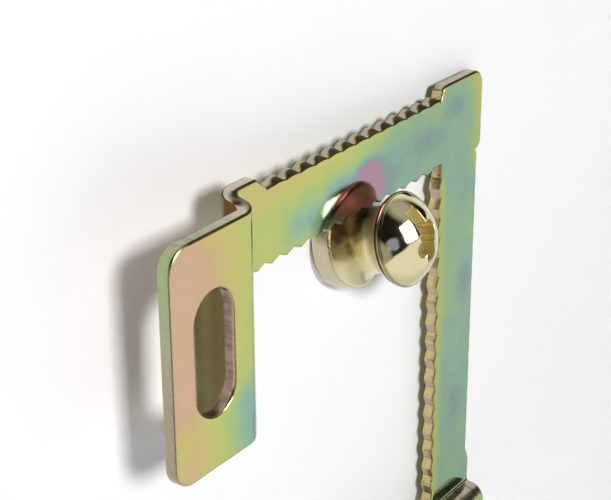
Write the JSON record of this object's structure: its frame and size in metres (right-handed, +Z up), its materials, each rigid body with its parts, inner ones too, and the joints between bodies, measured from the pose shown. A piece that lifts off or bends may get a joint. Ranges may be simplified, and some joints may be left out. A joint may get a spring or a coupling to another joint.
{
  "type": "plasterboard picture screw",
  "caption": "Dome-headed picture screw with a grooved spool neck set at an upward slant in a nylon wall plug, with a toothed sheet-steel frame hanger plate hung in the groove.",
  "frame": {"origin": "on the screw axis, at the wall-side face of the spool's flange, where the screw enters the plug in the wall", "axes": "X right along the wall as the viewer sees it, Y into the wall away from the viewer, Z up; the screw leaves the wall at 15 degrees above the horizontal and the plate hangs upright, parallel to the wall"},
  "size_m": [0.0392, 0.0374, 0.0443],
  "materials": {
    "nylon": "moulded, dull",
    "spool_brass": "brass plated, polished",
    "screw_brass": "brass plated, polished",
    "chromated_steel": "yellow chromated zinc, iridescent and bright"
  },
  "bodies": {
    "plug": {"wall_plug": "nylon"},
    "spool": {"spool_sleeve": "spool_brass"},
    "screw": {"picture_screw": "screw_brass"},
    "plate": {"hanger_plate": "chromated_steel"}
  },
  "joints": [
    {"name": "spool_draw", "type": "slide", "parent": "plug", "child": "spool", "axis": [0, -0.9659, 0.2588], "range_m": [0, 0.0045]},
    {"name": "screw_turn", "type": "hinge", "parent": "spool", "child": "screw", "pos_m": [0, 0, 0], "axis": [0, -0.9659, 0.2588], "range_deg": [0, 1080]},
    {"name": "plate_swing", "type": "hinge", "parent": "spool", "child": "plate", "pos_m": [0, -0.00248, 0.00066], "axis": [0, -1, 0], "range_deg": [-30, 30]}
  ],
  "couplings": [
    {"joint": "screw_turn", "follows": "spool_draw", "rad_per_m": 4188.8}
  ]
}
